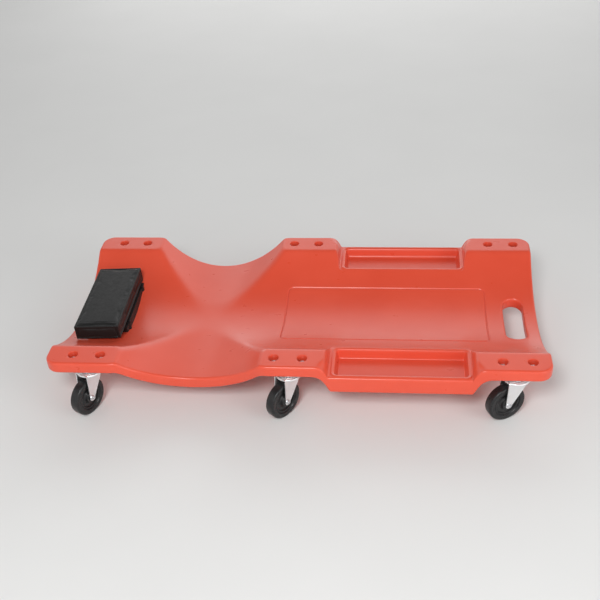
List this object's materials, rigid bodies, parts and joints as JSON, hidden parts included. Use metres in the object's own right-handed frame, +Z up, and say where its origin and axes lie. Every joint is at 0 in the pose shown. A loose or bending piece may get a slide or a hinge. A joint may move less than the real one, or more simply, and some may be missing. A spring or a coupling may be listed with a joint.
{
  "type": "mechanics creeper",
  "caption": "Low garage trolley to lie on: a moulded red deck with body trough, arm cut-outs, tool trays, padded headrest and handle slot, on swivel casters.",
  "frame": {"origin": "centre of the overall box at floor level, under the middle of the deck", "axes": "+X along the deck from the head end to the foot end, +Y to the left of the person lying on it, +Z up; the floor is z = 0"},
  "size_m": [1.008, 0.5458, 0.132],
  "materials": {
    "deck_plastic": "satin moulded polyethylene, salmon red",
    "black_vinyl": "smooth black vinyl over foam",
    "plywood": "bare plywood",
    "black_plastic": "matt black moulded plastic",
    "zinc_plate": "bright zinc plate",
    "black_steel": "blackened steel",
    "pressed_zinc": "pressed steel, bright zinc plate",
    "ball_steel": "polished bearing steel",
    "bushing_steel": "plain turned steel",
    "wheel_black": "black moulded plastic"
  },
  "bodies": {
    "deck": {"deck": "deck_plastic", "headrest_cushion": "black_vinyl", "headrest_board": "plywood", "headrest_base": "black_plastic", "headrest_screws": "black_steel", "pad_screws": "zinc_plate", "caster_bolts": "zinc_plate", "caster_washers": "zinc_plate", "caster_nuts": "zinc_plate", "head_right_plate": "pressed_zinc", "head_right_kingpin": "zinc_plate", "head_left_plate": "pressed_zinc", "head_left_kingpin": "zinc_plate", "mid_right_plate": "pressed_zinc", "mid_right_kingpin": "zinc_plate", "mid_left_plate": "pressed_zinc", "mid_left_kingpin": "zinc_plate", "foot_right_plate": "pressed_zinc", "foot_right_kingpin": "zinc_plate", "foot_left_plate": "pressed_zinc", "foot_left_kingpin": "zinc_plate"},
    "head_right_swivel": {"head_right_bearing_balls": "ball_steel", "head_right_fork": "pressed_zinc", "head_right_axle_rivet": "zinc_plate", "head_right_bushing": "bushing_steel"},
    "head_right_roller": {"head_right_wheel": "wheel_black"},
    "head_left_swivel": {"head_left_bearing_balls": "ball_steel", "head_left_fork": "pressed_zinc", "head_left_axle_rivet": "zinc_plate", "head_left_bushing": "bushing_steel"},
    "head_left_roller": {"head_left_wheel": "wheel_black"},
    "mid_right_swivel": {"mid_right_bearing_balls": "ball_steel", "mid_right_fork": "pressed_zinc", "mid_right_axle_rivet": "zinc_plate", "mid_right_bushing": "bushing_steel"},
    "mid_right_roller": {"mid_right_wheel": "wheel_black"},
    "mid_left_swivel": {"mid_left_bearing_balls": "ball_steel", "mid_left_fork": "pressed_zinc", "mid_left_axle_rivet": "zinc_plate", "mid_left_bushing": "bushing_steel"},
    "mid_left_roller": {"mid_left_wheel": "wheel_black"},
    "foot_right_swivel": {"foot_right_bearing_balls": "ball_steel", "foot_right_fork": "pressed_zinc", "foot_right_axle_rivet": "zinc_plate", "foot_right_bushing": "bushing_steel"},
    "foot_right_roller": {"foot_right_wheel": "wheel_black"},
    "foot_left_swivel": {"foot_left_bearing_balls": "ball_steel", "foot_left_fork": "pressed_zinc", "foot_left_axle_rivet": "zinc_plate", "foot_left_bushing": "bushing_steel"},
    "foot_left_roller": {"foot_left_wheel": "wheel_black"}
  },
  "joints": [
    {"name": "head_right_swivel_turn", "type": "hinge", "parent": "deck", "child": "head_right_swivel", "pos_m": [-0.421, -0.214, 0.1], "axis": [0, 0, 1], "continuous": true},
    {"name": "head_right_wheel_roll", "type": "hinge", "parent": "head_right_swivel", "child": "head_right_roller", "pos_m": [-0.43064, -0.23377, 0.04], "axis": [-0.8988, 0.4384, 0], "continuous": true},
    {"name": "head_left_swivel_turn", "type": "hinge", "parent": "deck", "child": "head_left_swivel", "pos_m": [-0.421, 0.214, 0.1], "axis": [0, 0, 1], "continuous": true},
    {"name": "head_left_wheel_roll", "type": "hinge", "parent": "head_left_swivel", "child": "head_left_roller", "pos_m": [-0.43064, 0.23377, 0.04], "axis": [0.8988, 0.4384, 0], "continuous": true},
    {"name": "mid_right_swivel_turn", "type": "hinge", "parent": "deck", "child": "mid_right_swivel", "pos_m": [-0.01, -0.214, 0.1], "axis": [0, 0, 1], "continuous": true},
    {"name": "mid_right_wheel_roll", "type": "hinge", "parent": "mid_right_swivel", "child": "mid_right_roller", "pos_m": [-0.02354, -0.23134, 0.04], "axis": [-0.788, 0.6157, 0], "continuous": true},
    {"name": "mid_left_swivel_turn", "type": "hinge", "parent": "deck", "child": "mid_left_swivel", "pos_m": [-0.01, 0.214, 0.1], "axis": [0, 0, 1], "continuous": true},
    {"name": "mid_left_wheel_roll", "type": "hinge", "parent": "mid_left_swivel", "child": "mid_left_roller", "pos_m": [-0.02354, 0.23134, 0.04], "axis": [0.788, 0.6157, 0], "continuous": true},
    {"name": "foot_right_swivel_turn", "type": "hinge", "parent": "deck", "child": "foot_right_swivel", "pos_m": [0.438, -0.214, 0.1], "axis": [0, 0, 1], "continuous": true},
    {"name": "foot_right_wheel_roll", "type": "hinge", "parent": "foot_right_swivel", "child": "foot_right_roller", "pos_m": [0.4184, -0.22399, 0.04], "axis": [-0.454, 0.891, 0], "continuous": true},
    {"name": "foot_left_swivel_turn", "type": "hinge", "parent": "deck", "child": "foot_left_swivel", "pos_m": [0.438, 0.214, 0.1], "axis": [0, 0, 1], "continuous": true},
    {"name": "foot_left_wheel_roll", "type": "hinge", "parent": "foot_left_swivel", "child": "foot_left_roller", "pos_m": [0.4184, 0.22399, 0.04], "axis": [0.454, 0.891, 0], "continuous": true}
  ]
}
